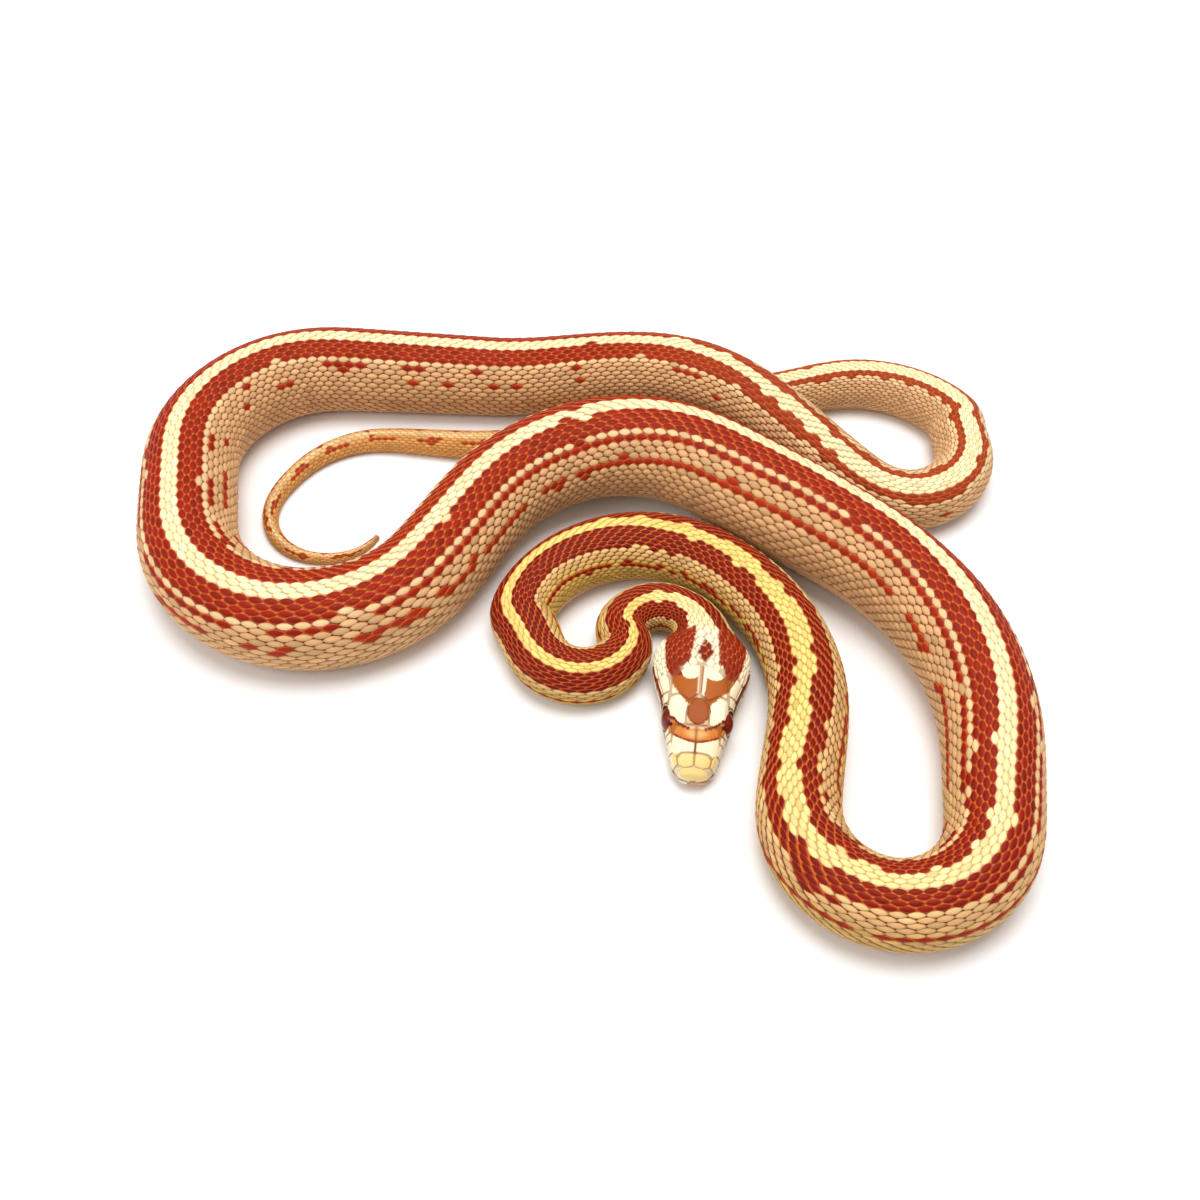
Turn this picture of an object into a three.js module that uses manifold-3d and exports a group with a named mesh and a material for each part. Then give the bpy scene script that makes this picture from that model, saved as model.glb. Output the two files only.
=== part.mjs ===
// A corn snake of the striped albino kind, life size, lying in loose coils on a flat surface.
// Millimetres, +Z up, floor at z = 0. The snout points towards -Y, the long loops run along X.
import * as THREE from "three";
import { mergeVertices } from "three/addons/utils/BufferGeometryUtils.js";
import Module from "manifold-3d";

const wasm = await Module();
wasm.setup();

// Driving dimensions
const GAP = 0.3; // air left between neighbouring pieces
const HEAD_LENGTH = 26; // snout to the cut behind the jaw
const MIDDLE = [-4.9, -3.8]; // the middle of the resting snake, taken as the origin

// The spine seen from above runs like a belt round these bends, from the snout to the tail tip.
const SNOUT = [13.8, -36];
const TAIL_TIP = [-38.6, 14];
const LEFT = 1; // counter-clockwise, seen from above and followed from the snout
const RIGHT = -1;
const BENDS = [
  { name: "neck crook", at: [9.5, -10.5], radius: 7, turn: LEFT },
  { name: "small coil, near side", at: [-3, -10.5], radius: 8, turn: RIGHT },
  { name: "small coil, far side", at: [6.5, -12.5], radius: 20.5, turn: RIGHT },
  { name: "small coil, shoulder", at: [0.5, -22], radius: 31.5, turn: RIGHT },
  { name: "near loop", at: [42.5, -44], radius: 14, turn: LEFT },
  { name: "rise from the near loop", at: [17, -28], radius: 41.5, turn: LEFT },
  { name: "middle arch", at: [3, -1.5], radius: 27.5, turn: LEFT },
  { name: "left loop, near side", at: [-46.5, 13], radius: 22.5, turn: RIGHT },
  { name: "left loop, far side", at: [-48.5, 26.5], radius: 22.5, turn: RIGHT },
  { name: "far run, falling away", at: [-14, -24], radius: 71, turn: RIGHT },
  { name: "right loop, near side", at: [52.5, 30], radius: 12, turn: LEFT },
  { name: "right loop, far side", at: [46.5, 27], radius: 21, turn: LEFT },
  { name: "tail, between the runs", at: [-19, 79], radius: 45.5, turn: RIGHT },
  { name: "tail loop, far side", at: [-39.5, 18.5], radius: 17, turn: LEFT },
  { name: "tail loop, near side", at: [-47, 18.5], radius: 10.5, turn: LEFT },
];
const SPINE_STEP = 0.5; // between neighbouring points of the spine
const SPINE_SOFTNESS = 2.5; // a spine eases into its bends over about this length

// Body thickness: [distance from the snout, radius]
const THICKNESS = [
  [26, 4.4], [32, 3.8], [47, 4], [73, 4.9], [97, 5.4], [146, 5.9], [186, 6.2], [211, 7], [241, 8],
  [274, 8.5], [306, 8.4], [336, 8], [411, 7.9], [446, 7.6], [491, 6.8], [532, 5.8], [560, 5.1],
  [590, 4.8], [634, 3.9], [697, 2.1], [744, 0.9], [754.5, 0.45],
];
const WIDE = 1.04; // half width over radius
const TALL = 0.95; // half height over radius
const BELLY_CORNER = 150; // degrees round from the back, where the flank meets the flat belly

// Where the body climbs over its own tail: distance from the snout, reach either way, height
const CLIMBS = [
  { at: 299, reach: 50, height: 2.8 },
  { at: 527, reach: 42, height: 8.2 },
];

// Belly scutes, coarser than in life: [from the snout, length of one scute]
const SCUTE_PITCH = [[0, 3.6], [59, 7], [633, 4.6]];
const SCUTE_DEPTH = 0.3; // step from one scute's rear edge to the next one's front

// The lengths that the body is divided into: name and the distance from the snout where each ends
const LENGTHS = [
  ["neck", 59], ["fore_body_1", 97], ["fore_body_2", 141], ["fore_body_3", 181],
  ["mid_body_1", 229], ["mid_body_2", 281], ["mid_body_3", 326], ["mid_body_4", 371],
  ["mid_body_5", 421], ["hind_body_1", 470], ["hind_body_2", 514], ["hind_body_3", 553],
  ["hind_body_4", 592], ["hind_body_5", 634], ["tail_1", 674], ["tail_2", 710], ["tail_3", 735],
  ["tail_tip", 754.5],
];

const red = new THREE.MeshStandardMaterial({ color: 0xb0431c, roughness: 0.45, metalness: 0 });
const cream = new THREE.MeshStandardMaterial({ color: 0xe2c7a6, roughness: 0.45, metalness: 0 });
const amber = new THREE.MeshStandardMaterial({ color: 0xd9a25c, roughness: 0.45, metalness: 0 });
const ruby = new THREE.MeshStandardMaterial({ color: 0x5e0d08, roughness: 0.08, metalness: 0 });

// Small helpers

// The value at x of the straight lines that join [x, value] pairs, held level beyond their ends.
function along(table, x) {
  let i = 1;
  while (i < table.length - 1 && table[i][0] < x) i++;
  const [x0, a] = table[i - 1];
  const [x1, b] = table[i];
  const t = THREE.MathUtils.clamp((x - x0) / (x1 - x0), 0, 1);
  return a + (b - a) * t;
}

function solidOf(geometry) {
  const bare = geometry.clone();
  bare.deleteAttribute("normal");
  bare.deleteAttribute("uv");
  const merged = mergeVertices(bare, 1e-4);
  const mesh = new wasm.Mesh({
    numProp: 3,
    vertProperties: new Float32Array(merged.attributes.position.array),
    triVerts: new Uint32Array(merged.index.array),
  });
  return new wasm.Manifold(mesh);
}

function geometryOf(solid) {
  const mesh = solid.getMesh();
  const geometry = new THREE.BufferGeometry();
  geometry.setAttribute("position", new THREE.BufferAttribute(mesh.vertProperties, 3));
  geometry.setIndex(new THREE.BufferAttribute(mesh.triVerts, 1));
  return geometry;
}

function largestOf(solid) {
  return solid.decompose().sort((a, b) => b.volume() - a.volume())[0];
}

// A closed skin through rings of points, each ring the same length, with flat ends.
function loft(rings) {
  const around = rings[0].length;
  const points = rings.flat();
  const faces = [];
  for (let i = 0; i + 1 < rings.length; i++) {
    for (let k = 0; k < around; k++) {
      const a = i * around + k;
      const b = i * around + ((k + 1) % around);
      faces.push(a, b, b + around, a, b + around, a + around);
    }
  }
  for (const [ring, flip] of [[0, true], [rings.length - 1, false]]) {
    const middle = new THREE.Vector3();
    rings[ring].forEach((p) => middle.addScaledVector(p, 1 / around));
    points.push(middle);
    for (let k = 0; k < around; k++) {
      const a = ring * around + k;
      const b = ring * around + ((k + 1) % around);
      faces.push(...(flip ? [b, a] : [a, b]), points.length - 1);
    }
  }
  const geometry = new THREE.BufferGeometry().setFromPoints(points);
  geometry.setIndex(faces);
  return geometry;
}

// Spine

// Headings of the straight stretches that touch each pair of neighbouring bends. Where one bend
// nearly lies inside the next, the stretch shrinks to the place where they touch.
function headings(stops) {
  return stops.slice(1).map((b, i) => {
    const a = stops[i];
    const dx = b.at[0] - a.at[0];
    const dy = b.at[1] - a.at[1];
    const offset = (b.turn * b.radius - a.turn * a.radius) / Math.hypot(dx, dy);
    return Math.atan2(dy, dx) - Math.asin(THREE.MathUtils.clamp(offset, -1, 1));
  });
}

function beltPoints() {
  const ends = [SNOUT, TAIL_TIP].map((at) => ({ at, radius: 0, turn: LEFT }));
  const stops = [ends[0], ...BENDS, ends[1]];
  const heading = headings(stops);
  const points = [new THREE.Vector2(...SNOUT)];
  BENDS.forEach((bend, i) => {
    const start = heading[i];
    const full = 2 * Math.PI;
    let sweep = ((heading[i + 1] - start) * bend.turn) % full;
    if (sweep < 0) sweep += full;
    if (sweep > 0.88 * full) sweep -= full;
    const steps = Math.max(1, Math.ceil((Math.abs(sweep) * bend.radius) / SPINE_STEP));
    for (let k = 0; k <= steps; k++) {
      const angle = start + (bend.turn * sweep * k) / steps;
      const arm = bend.turn * bend.radius;
      points.push(new THREE.Vector2(
        bend.at[0] + arm * Math.sin(angle),
        bend.at[1] - arm * Math.cos(angle),
      ));
    }
  });
  points.push(new THREE.Vector2(...TAIL_TIP));
  return points;
}

// Points at even steps along a line of points.
function evenly(points, step) {
  const out = [points[0].clone()];
  let carried = 0;
  for (let i = 1; i < points.length; i++) {
    const length = points[i].distanceTo(points[i - 1]);
    let at = step - carried;
    while (at <= length) {
      out.push(points[i - 1].clone().lerp(points[i], at / length));
      at += step;
    }
    carried = length - (at - step);
  }
  return out;
}

// Every point of the belt moved to the bell-weighted average of its neighbours.
function eased(points) {
  const reach = Math.round((3 * SPINE_SOFTNESS) / SPINE_STEP);
  const last = points.length - 1;
  const point = (i) => {
    if (i < 0) return points[0].clone().multiplyScalar(2).sub(points[-i]);
    if (i > last) return points[last].clone().multiplyScalar(2).sub(points[2 * last - i]);
    return points[i];
  };
  return points.map((_, i) => {
    const sum = new THREE.Vector2();
    let weights = 0;
    for (let k = -reach; k <= reach; k++) {
      const weight = Math.exp(-0.5 * ((k * SPINE_STEP) / SPINE_SOFTNESS) ** 2);
      sum.addScaledVector(point(i + k), weight);
      weights += weight;
    }
    return sum.divideScalar(weights).sub(new THREE.Vector2(...MIDDLE));
  });
}

const spine = evenly(eased(evenly(beltPoints(), SPINE_STEP)), SPINE_STEP);

// Place on the spine at a distance from the snout, with unit vectors towards the tail and to the
// snake's right.
function spineAt(distance) {
  const last = spine.length - 1;
  const x = THREE.MathUtils.clamp(distance / SPINE_STEP, 0, last);
  const i = Math.min(Math.floor(x), last - 1);
  const point = spine[i].clone().lerp(spine[i + 1], x - i);
  const before = spine[Math.max(i - 1, 0)];
  const after = spine[Math.min(i + 2, last)];
  const back = after.clone().sub(before).normalize();
  return { point, back, right: new THREE.Vector2(-back.y, back.x) };
}

function climbAt(distance) {
  return CLIMBS.reduce((sum, climb) => {
    const t = Math.min(Math.abs(distance - climb.at) / climb.reach, 1);
    return sum + (climb.height * (1 + Math.cos(Math.PI * t))) / 2;
  }, 0);
}

// Body lengths

const FLANK_STEPS = 6; // facets from the middle of the back to the belly's corner

// One ring round the body. The belly's corners are raised by `step` at a scute's front edge.
function bodyRing(distance, step) {
  const { point, right } = spineAt(distance);
  const radius = along(THICKNESS, distance);
  const base = climbAt(distance);
  const lift = Math.min(step, radius / 5);
  const cornerDepth = -Math.cos(THREE.MathUtils.degToRad(BELLY_CORNER));
  const ring = [];
  for (let k = -FLANK_STEPS; k <= FLANK_STEPS; k++) {
    const angle = THREE.MathUtils.degToRad((BELLY_CORNER * k) / FLANK_STEPS);
    const side = WIDE * radius * Math.sin(angle);
    const rise = Math.cos(angle);
    let height = TALL * radius * (1 + (rise < 0 ? rise / cornerDepth : rise));
    if (Math.abs(k) === FLANK_STEPS) height += lift;
    ring.push(new THREE.Vector3(
      point.x - right.x * side, point.y - right.y * side, base + height,
    ));
  }
  return ring;
}

// One length of the body: each scute has a front edge, a flat, and a rear edge.
function bodyLength(from, to) {
  const pitch = SCUTE_PITCH.filter(([start]) => start <= from).pop()[1];
  const count = Math.max(2, Math.round((to - from) / pitch));
  const each = (to - from) / count;
  const rings = [];
  for (let i = 0; i < count; i++) {
    const front = from + i * each;
    rings.push(bodyRing(front, SCUTE_DEPTH));
    rings.push(bodyRing(front + 0.45 * each, 0));
    rings.push(bodyRing(front + each - 0.2, 0));
  }
  return loft(rings);
}

// Head, in its own frame: x runs back from the snout, y to the snake's right, z up from the floor

// [from the snout, half width, crown height, chin height]
const HEAD_FORM = [
  [0, 1.7, 3.9, 1.5], [0.5, 2.6, 4.6, 0.9], [1.6, 3.3, 5.2, 0.4], [3.4, 3.8, 5.8, 0.1],
  [5.6, 4.3, 6.6, 0], [7.6, 4.9, 7.4, 0], [9.4, 5.3, 7.7, 0], [11.4, 5.5, 7.9, 0],
  [13.6, 6.1, 8.1, 0], [16, 7, 8.2, 0], [18.5, 7.6, 8.2, 0], [20.6, 7.6, 8.1, 0],
  [22.6, 7.2, 8, 0], [24.4, 6.1, 7.9, 0], [HEAD_LENGTH - GAP / 2, 4.8, 7.9, 0],
];
const HEAD_SIDES = 20;
const PLATE_RISE = 0.22; // head plates stand this proud of the skin
const MOUTH_CORNER = 17.5; // from the snout
const MOUTH_HEIGHT = [[0, 2.5], [4, 2.2], [9, 2.2], [14, 2.4], [MOUTH_CORNER, 3.1]];
const EYE = { at: [8.6, 3.9, 5.1], radius: 2.15, flat: 0.75 };
const NOSTRIL = { at: [1.7, 3.1, 4.1], radius: 0.36 };

// A squarish ring: flat crown and chin, full cheeks.
function headRing([x, wide, crown, chin], grow) {
  const middle = chin + 0.46 * (crown - chin);
  const ring = [];
  for (let k = 0; k < HEAD_SIDES; k++) {
    const angle = (2 * Math.PI * (k + 0.5)) / HEAD_SIDES;
    const c = Math.cos(angle);
    const s = Math.sin(angle);
    const side = Math.sign(s) * Math.abs(s) ** 0.8 * (wide + grow);
    const half = c > 0 ? crown + grow - middle : middle - chin;
    ring.push(new THREE.Vector3(x, -side, middle + Math.sign(c) * Math.abs(c) ** 0.72 * half));
  }
  return ring;
}

function headForm(grow) {
  const rings = HEAD_FORM.map((row) => headRing(row, grow));
  rings[0].forEach((p) => (p.x -= grow));
  return solidOf(loft(rings));
}

// Top plates as outlines [x, y] on the snake's right, down to a height; `middle` ones span both
// sides.
const TOP_PLATES = [
  { name: "rostral", low: 3, middle: true, outline: [[-1, 1.2], [0.7, 1.3], [1.1, 0]] },
  { name: "internasal", low: 5, outline: [[1.2, 0.1], [0.9, 1.3], [1.5, 2.2], [3, 2.2], [3.2, 0.1]] },
  { name: "prefrontal", low: 5, outline: [[3.4, 0.1], [3.2, 2.3], [4.3, 3.5], [6.6, 3], [7, 0.1]] },
  { name: "frontal", low: 3, middle: true, outline: [[7.2, 1.6], [9.6, 1.35], [11.6, 0]] },
  {
    name: "brow plate",
    low: 5,
    outline: [[6.9, 1.9], [6.9, 3.1], [8.6, 4], [11.2, 4], [11, 1.6]],
  },
  {
    name: "parietal",
    low: 5,
    outline: [[11.9, 0.1], [11.2, 1.6], [11.4, 3.9], [14, 3.6], [16.2, 0.9], [16.2, 0.1]],
  },
];
// Lip and cheek plates as upright bands [from x, to x, low z, high z], on both sides
const UPPER_LIPS = [
  [1.1, 2.9, 2.6, 3.5], [3.1, 4.7, 2.5, 3.5], [4.9, 6.7, 2.5, 3.5], [6.9, 9.1, 2.5, 2.8],
  [9.3, 11.4, 2.5, 2.9], [11.6, 14.2, 2.6, 4.1], [14.4, 17, 2.9, 4.4],
];
const LOWER_LIPS = [
  [0.9, 2.9, 1.1, 2.1], [3.1, 5.3, 1, 2.1], [5.5, 8.3, 1, 2.2], [8.5, 11.5, 1, 2.2],
  [11.7, 14.5, 1, 2.2],
];

function prism(points, low, high) {
  const shape = new THREE.Shape(points.map(([x, y]) => new THREE.Vector2(x, y)));
  const geometry = new THREE.ExtrudeGeometry(shape, { depth: high - low, bevelEnabled: false });
  return geometry.translate(0, 0, low);
}

// A block between two corners.
function block([x0, y0, z0], [x1, y1, z1]) {
  const box = new THREE.BoxGeometry(x1 - x0, y1 - y0, z1 - z0);
  return box.translate((x0 + x1) / 2, (y0 + y1) / 2, (z0 + z1) / 2);
}

// Upright prisms under every plate's outline, to be trimmed to a slightly larger head.
function platePrisms() {
  const crown = 12;
  const solids = [];
  for (const { middle, low, outline } of TOP_PLATES) {
    const mirrored = outline.map(([x, y]) => [x, -y]).reverse();
    const shapes = middle ? [[...outline, ...mirrored]] : [outline, mirrored];
    shapes.forEach((points) => solids.push(solidOf(prism(points, low, crown))));
  }
  const reach = 12;
  for (const [x0, x1, low, high] of [...UPPER_LIPS, ...LOWER_LIPS]) {
    for (const side of [1, -1]) {
      const inner = side * 0.8;
      const outer = side * reach;
      const [y0, y1] = side > 0 ? [inner, outer] : [outer, inner];
      solids.push(solidOf(block([x0, y0, low], [x1, y1, high])));
    }
  }
  return solids.reduce((all, one) => all.add(one));
}

// The space of the lower jaw seen from the side, up to the mouth line less `back`.
function jawSpace(back) {
  const line = [];
  for (const [x, z] of MOUTH_HEIGHT) line.push([x, z - back]);
  line[0][0] = -3;
  line[line.length - 1][0] = MOUTH_CORNER - back;
  const outline = [[-3, -2], [MOUTH_CORNER - back, -2], ...line.reverse()];
  const wide = 24;
  const geometry = prism(outline, -wide / 2, wide / 2);
  return solidOf(geometry.rotateX(Math.PI / 2));
}

function ball({ at: [x, y, z], radius, flat = 1 }, side, grow) {
  const sphere = new THREE.SphereGeometry(radius + grow, 20, 14);
  sphere.scale(1, flat, 1);
  return sphere.translate(x, side * y, z);
}

// The upper head with its sockets and nostrils, and the lower jaw, parted along the mouth.
function headSolids() {
  const plain = headForm(0);
  const plated = plain.add(headForm(PLATE_RISE).intersect(platePrisms()));
  const sockets = [1, -1].map((side) => solidOf(ball(EYE, side, GAP)));
  const nostrils = [1, -1].map((side) => solidOf(ball(NOSTRIL, side, 0)));
  const cuts = [...sockets, ...nostrils].reduce((all, one) => all.add(one));
  const jaw = plated.intersect(jawSpace(GAP / 2));
  const skull = plated.subtract(jawSpace(-GAP / 2)).subtract(cuts);
  return { skull: largestOf(skull), jaw: largestOf(jaw) };
}

// The head laid along the spine, so that its nape runs into the neck.
function laidOnSpine(geometry) {
  const places = geometry.attributes.position;
  for (let i = 0; i < places.count; i++) {
    const x = places.getX(i);
    const { point, back, right } = spineAt(Math.max(x, 0));
    const ahead = Math.min(x, 0);
    const y = places.getY(i);
    places.setX(i, point.x + back.x * ahead + right.x * y);
    places.setY(i, point.y + back.y * ahead + right.y * y);
  }
  return geometry;
}

function headPieces() {
  const { skull, jaw } = headSolids();
  return [
    named("head", laidOnSpine(geometryOf(skull)), red),
    named("lower_jaw", laidOnSpine(geometryOf(jaw)), cream),
    named("eye_right", laidOnSpine(ball(EYE, 1, 0)), ruby),
    named("eye_left", laidOnSpine(ball(EYE, -1, 0)), ruby),
  ];
}

function named(name, geometry, material) {
  const mesh = new THREE.Mesh(geometry, material);
  mesh.name = name;
  return mesh;
}

const snake = new THREE.Group();
snake.add(...headPieces());
let from = HEAD_LENGTH;
for (const [name, to] of LENGTHS) {
  const skin = name.startsWith("tail") ? amber : red;
  snake.add(named(name, bodyLength(from + GAP / 2, to - GAP / 2), skin));
  from = to;
}

export default snake;
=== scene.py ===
# %% [markdown]
# # A striped albino corn snake in loose coils
#
# The snake is about three quarters of a metre long and lies still on a pale floor. One smooth skin
# runs from the snout to the tail tip, and thousands of small scales lie on it like roof tiles. The
# solids it replaces are already in place, so every piece here is laid along the same spine.

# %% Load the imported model
import bmesh
import bpy
import math
import numpy as np
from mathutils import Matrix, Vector


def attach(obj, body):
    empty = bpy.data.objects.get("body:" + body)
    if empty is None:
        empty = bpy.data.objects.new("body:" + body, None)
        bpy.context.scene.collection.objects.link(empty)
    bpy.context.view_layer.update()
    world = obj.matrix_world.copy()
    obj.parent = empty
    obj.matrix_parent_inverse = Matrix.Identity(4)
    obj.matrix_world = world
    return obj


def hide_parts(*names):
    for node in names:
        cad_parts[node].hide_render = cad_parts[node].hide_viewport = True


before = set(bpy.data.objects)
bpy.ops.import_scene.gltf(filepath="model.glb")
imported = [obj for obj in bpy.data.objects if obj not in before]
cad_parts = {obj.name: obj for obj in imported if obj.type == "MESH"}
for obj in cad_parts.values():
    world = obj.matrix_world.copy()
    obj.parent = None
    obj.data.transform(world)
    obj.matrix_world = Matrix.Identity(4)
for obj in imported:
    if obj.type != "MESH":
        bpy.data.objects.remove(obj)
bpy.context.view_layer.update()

# %% [markdown]
# ## The spine
#
# Seen from above, the snake's spine runs like a belt round a row of pegs. Each bend is a peg with a
# place, a radius and a turning direction, and the straight stretches touch neighbouring pegs. A
# curve could be drawn by hand, but pegs keep each bend a true arc, as a resting snake's are.

# %% The bends, from the snout to the tail, in millimetres
MM = 0.001
LEFT, RIGHT = 1, -1
MIDDLE = (-4.9, -3.8)
SNOUT, TAIL_TIP = (13.8, -36), (-38.6, 14)
BENDS = [
    (9.5, -10.5, 7, LEFT),  # neck crook
    (-3, -10.5, 8, RIGHT),  # small coil, near side
    (6.5, -12.5, 20.5, RIGHT),  # small coil, far side
    (0.5, -22, 31.5, RIGHT),  # small coil, shoulder
    (42.5, -44, 14, LEFT),  # near loop
    (17, -28, 41.5, LEFT),  # rise from the near loop
    (3, -1.5, 27.5, LEFT),  # middle arch
    (-46.5, 13, 22.5, RIGHT),  # left loop, near side
    (-48.5, 26.5, 22.5, RIGHT),  # left loop, far side
    (-14, -24, 71, RIGHT),  # far run, falling away
    (52.5, 30, 12, LEFT),  # right loop, near side
    (46.5, 27, 21, LEFT),  # right loop, far side
    (-19, 79, 45.5, RIGHT),  # tail, between the runs
    (-39.5, 18.5, 17, LEFT),  # tail loop, far side
    (-47, 18.5, 10.5, LEFT),  # tail loop, near side
]
STEP = 0.5  # between points of the spine
FULL_TURN = 2 * math.pi
LONGEST_ARC = 0.88 * FULL_TURN  # an arc that comes out longer is a short step back


def belt():
    """Arcs round the bends, joined by the lines that touch them."""
    stops = [(*SNOUT, 0, LEFT), *BENDS, (*TAIL_TIP, 0, LEFT)]
    headings = []
    for (x0, y0, r0, s0), (x1, y1, r1, s1) in zip(stops, stops[1:]):
        offset = (s1 * r1 - s0 * r0) / math.hypot(x1 - x0, y1 - y0)
        headings.append(math.atan2(y1 - y0, x1 - x0) - math.asin(max(-1, min(1, offset))))
    points = [SNOUT]
    for (x, y, r, s), start, end in zip(BENDS, headings, headings[1:]):
        sweep = (end - start) * s % FULL_TURN
        if sweep > LONGEST_ARC:
            sweep -= FULL_TURN
        for t in start + s * np.linspace(0, sweep, max(2, math.ceil(abs(sweep) * r / STEP) + 1)):
            points.append((x + s * r * math.sin(t), y - s * r * math.cos(t)))
    return np.array(points + [TAIL_TIP])


print("belt", len(belt()), "points round", len(BENDS), "bends")

# %% [markdown]
# Where an arc meets a straight line, the belt's curvature jumps, and light on the scales would show
# it. The points are set at even steps and averaged with their neighbours, which eases each join.

# %% The spine, eased and evenly spaced
def evenly(points):
    """The same line with its points STEP apart."""
    reach = np.r_[0, np.cumsum(np.hypot(*np.diff(points, axis=0).T))]
    keep = np.r_[True, np.diff(reach) > 1e-6]
    places = np.arange(0, reach[-1], STEP)
    return np.stack([np.interp(places, reach[keep], points[keep, j]) for j in (0, 1)], 1)


def eased(points, softness=2.5):
    """Each point moved to the bell-weighted average of its neighbours."""
    reach = round(3 * softness / STEP)
    bell = np.exp(-0.5 * (np.arange(-reach, reach + 1) * STEP / softness) ** 2)
    before = 2 * points[0] - points[reach:0:-1]
    after = 2 * points[-1] - points[-2:-reach - 2:-1]
    line = np.concatenate([before, points, after])
    return np.stack([np.convolve(line[:, j], bell / bell.sum(), "valid") for j in (0, 1)], 1)


spine = evenly(eased(evenly(belt()))) - MIDDLE
LENGTH = (len(spine) - 1) * STEP
print("spine", round(LENGTH, 1), "mm")

# %% [markdown]
# ## Thickness, and the climb over its own tail
#
# A corn snake is thin at the neck, thickest a third of the way along and drawn out to a fine tail.
# Two tables say how thick it is and where it is lifted. Smooth tables beat sculpting here, because
# the skin, the scales and the markings can all ask the same question of them.

# %% Thickness and height tables, by distance from the snout
THICK_AT = [26, 32, 47, 73, 97, 146, 186, 211, 241, 274, 306, 336, 411, 446, 491, 532, 560, 590,
            634, 697, 744, 754.5]
THICK = [4.3, 3.7, 4, 4.9, 5.4, 5.9, 6.2, 7, 8, 8.5, 8.4, 8, 7.9, 7.6, 6.8, 5.8, 5.1, 4.8,
         3.9, 2.1, 0.9, 0.45]
CLIMBS = [(299, 50, 2.8), (527, 42, 8.2)]  # middle, reach each way, height


def radius(s):
    return np.interp(s, THICK_AT, THICK)


def climb(s):
    total = 0
    for at, reach, height in CLIMBS:
        total = total + height * (1 + np.cos(np.pi * np.minimum(abs(s - at) / reach, 1))) / 2
    return total


def spine_at(s):
    """Place, way back and way right on the spine, for an array of distances from the snout."""
    s = np.asarray(s, float)
    x = np.clip(s, 0, LENGTH - 0.01) / STEP
    places = np.arange(len(spine))
    point = np.stack([np.interp(x, places, spine[:, j]) for j in (0, 1)], -1)
    ahead = np.gradient(spine, axis=0)
    ahead /= np.linalg.norm(ahead, axis=1)[:, None]
    back = np.stack([np.interp(x, places, ahead[:, j]) for j in (0, 1)], -1)
    back /= np.linalg.norm(back, axis=-1)[..., None]
    beyond = (s - x * STEP)[..., None]
    return point + back * beyond, back, np.stack([-back[..., 1], back[..., 0]], -1)


print("thickest", max(THICK), "mm from the middle, lifted", climb(527.0), "mm over the tail")

# %% [markdown]
# ## Cross-sections
#
# The head is squarish with a flat crown and full cheeks, and the body is a round loaf with a flat
# belly. Both are written as one function of an angle that starts at the middle of the back and
# runs to the snake's right, and they melt into each other behind the jaw, so no seam can show.

# %% Section of the head
HEAD_AT = [0, 0.5, 1.6, 3.4, 5.6, 7.6, 9.4, 11.4, 13.6, 16, 18.5, 20.6, 22.6, 24.4, 26]
HEAD_WIDE = [1.7, 2.6, 3.3, 3.8, 4.3, 4.9, 5.3, 5.5, 6.1, 7, 7.6, 7.6, 7.2, 6.1, 4.8]
HEAD_CROWN = [3.9, 4.6, 5.2, 5.8, 6.6, 7.4, 7.7, 7.9, 8.1, 8.2, 8.2, 8.1, 8.0, 7.9, 7.9]
HEAD_CHIN = [1.5, 0.9, 0.5] + [0.3] * 12  # just clear of the floor, like the belly
HEAD_WIDEST = 0.46  # how far up from the chin to the crown
SIDE_POWER, CROWN_POWER = 0.8, 0.72  # 1 is an ellipse, and less is squarer
BROW = dict(x=8.7, y=3.8, reach=2.6, half=0.75, rise=0.7)  # the ridge over each eye


def smooth_table(s, at, values):
    """A rounded reading of a table, so that no ring shows as a crease."""
    s = np.asarray(s, float)
    spread = (-0.8, -0.4, 0, 0.4, 0.8)
    weights = (0.12, 0.23, 0.3, 0.23, 0.12)
    return sum(w * np.interp(s + d, at, values) for d, w in zip(spread, weights))


def brow(s, side):
    """Rise of the ridge over each eye."""
    reach = np.clip(1.25 - abs(np.asarray(s) - BROW["x"]) / BROW["reach"], 0, 1)
    across = np.exp(-((abs(side) - BROW["y"]) / BROW["half"]) ** 2)
    return BROW["rise"] * reach**2 * (3 - 2 * reach) * across


def head_section(s, angle):
    wide = smooth_table(s, HEAD_AT, HEAD_WIDE)
    crown = smooth_table(s, HEAD_AT, HEAD_CROWN)
    chin = smooth_table(s, HEAD_AT, HEAD_CHIN)
    middle = chin + HEAD_WIDEST * (crown - chin)
    c, t = np.cos(angle), np.sin(angle)
    side = np.sign(t) * abs(t) ** SIDE_POWER * wide
    half = np.where(c > 0, crown - middle, middle - chin)
    height = middle + np.sign(c) * abs(c) ** CROWN_POWER * half
    return side, height + np.where(c > 0, brow(s, side), 0)


print("head", 2 * max(HEAD_WIDE), "mm wide and", max(HEAD_CROWN), "mm high")

# %% [markdown]
# The body's section is a circle that is cut flat where it rests. It is a little slimmer than the
# solids, because the scales stand on it, and on the solids' outline their tops come out right.

# %% Section of the body, and places on the skin
WIDE, TALL = 1.01, 0.93
BELLY_CORNER = math.radians(150)
SCUTE_ROOM = 0.3  # the skin's belly stays this far up, and the scutes reach down to the floor
NECK_FROM, NECK_REACH = 21, 9  # the head's section melts into the body's here
SNOUT_CAP = 0.35  # the blunt front of the snout bulges this far; s from -1 to 0 runs over it
SNOUT_HEIGHT = 2.7


def body_section(s, angle):
    r = radius(s)
    rise = np.cos(angle)
    floor = -math.cos(BELLY_CORNER)
    height = TALL * r * (1 + np.where(rise < 0, rise / floor, rise))
    return WIDE * r * np.sin(angle), climb(s) + np.maximum(height, np.minimum(SCUTE_ROOM, r / 5))


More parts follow.
